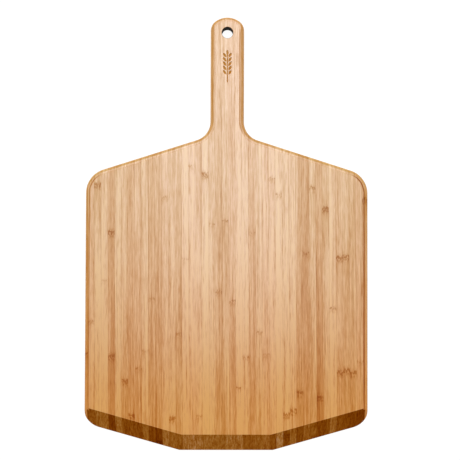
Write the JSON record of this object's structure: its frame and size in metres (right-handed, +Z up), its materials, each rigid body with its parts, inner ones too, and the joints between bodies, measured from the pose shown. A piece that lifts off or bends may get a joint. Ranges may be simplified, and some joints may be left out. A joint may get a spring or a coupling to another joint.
{
  "type": "pizza peel",
  "caption": "Flat bamboo pizza peel glued up from upright staves, with a short handle, a hanging hole, eased edges and a front planed down to a thin tip in straight facets.",
  "frame": {"origin": "under the middle of the peel's box, on the level of its underside", "axes": "+Z up out of the serving face, +Y from the front edge towards the end of the handle, +X to the right as seen from above with the handle pointing away"},
  "size_m": [0.3556, 0.5468, 0.012],
  "materials": {
    "bamboo": "satin, oiled"
  },
  "bodies": {
    "root": {"left_blade_stave_19": "bamboo", "left_blade_stave_18": "bamboo", "left_blade_stave_17": "bamboo", "left_blade_stave_16": "bamboo", "left_blade_stave_15": "bamboo", "left_blade_stave_14": "bamboo", "left_blade_stave_13": "bamboo", "left_blade_stave_12": "bamboo", "left_blade_stave_11": "bamboo", "left_blade_stave_10": "bamboo", "left_blade_stave_09": "bamboo", "left_blade_stave_08": "bamboo", "left_blade_stave_07": "bamboo", "left_blade_stave_06": "bamboo", "left_blade_stave_05": "bamboo", "left_blade_stave_04": "bamboo", "left_blade_stave_03": "bamboo", "left_blade_stave_02": "bamboo", "left_blade_stave_01": "bamboo", "handle_stave_1": "bamboo", "handle_stave_2": "bamboo", "handle_stave_3": "bamboo", "handle_stave_4": "bamboo", "handle_stave_5": "bamboo", "handle_stave_6": "bamboo", "right_blade_stave_01": "bamboo", "right_blade_stave_02": "bamboo", "right_blade_stave_03": "bamboo", "right_blade_stave_04": "bamboo", "right_blade_stave_05": "bamboo", "right_blade_stave_06": "bamboo", "right_blade_stave_07": "bamboo", "right_blade_stave_08": "bamboo", "right_blade_stave_09": "bamboo", "right_blade_stave_10": "bamboo", "right_blade_stave_11": "bamboo", "right_blade_stave_12": "bamboo", "right_blade_stave_13": "bamboo", "right_blade_stave_14": "bamboo", "right_blade_stave_15": "bamboo", "right_blade_stave_16": "bamboo", "right_blade_stave_17": "bamboo", "right_blade_stave_18": "bamboo"}
  },
  "joints": []
}
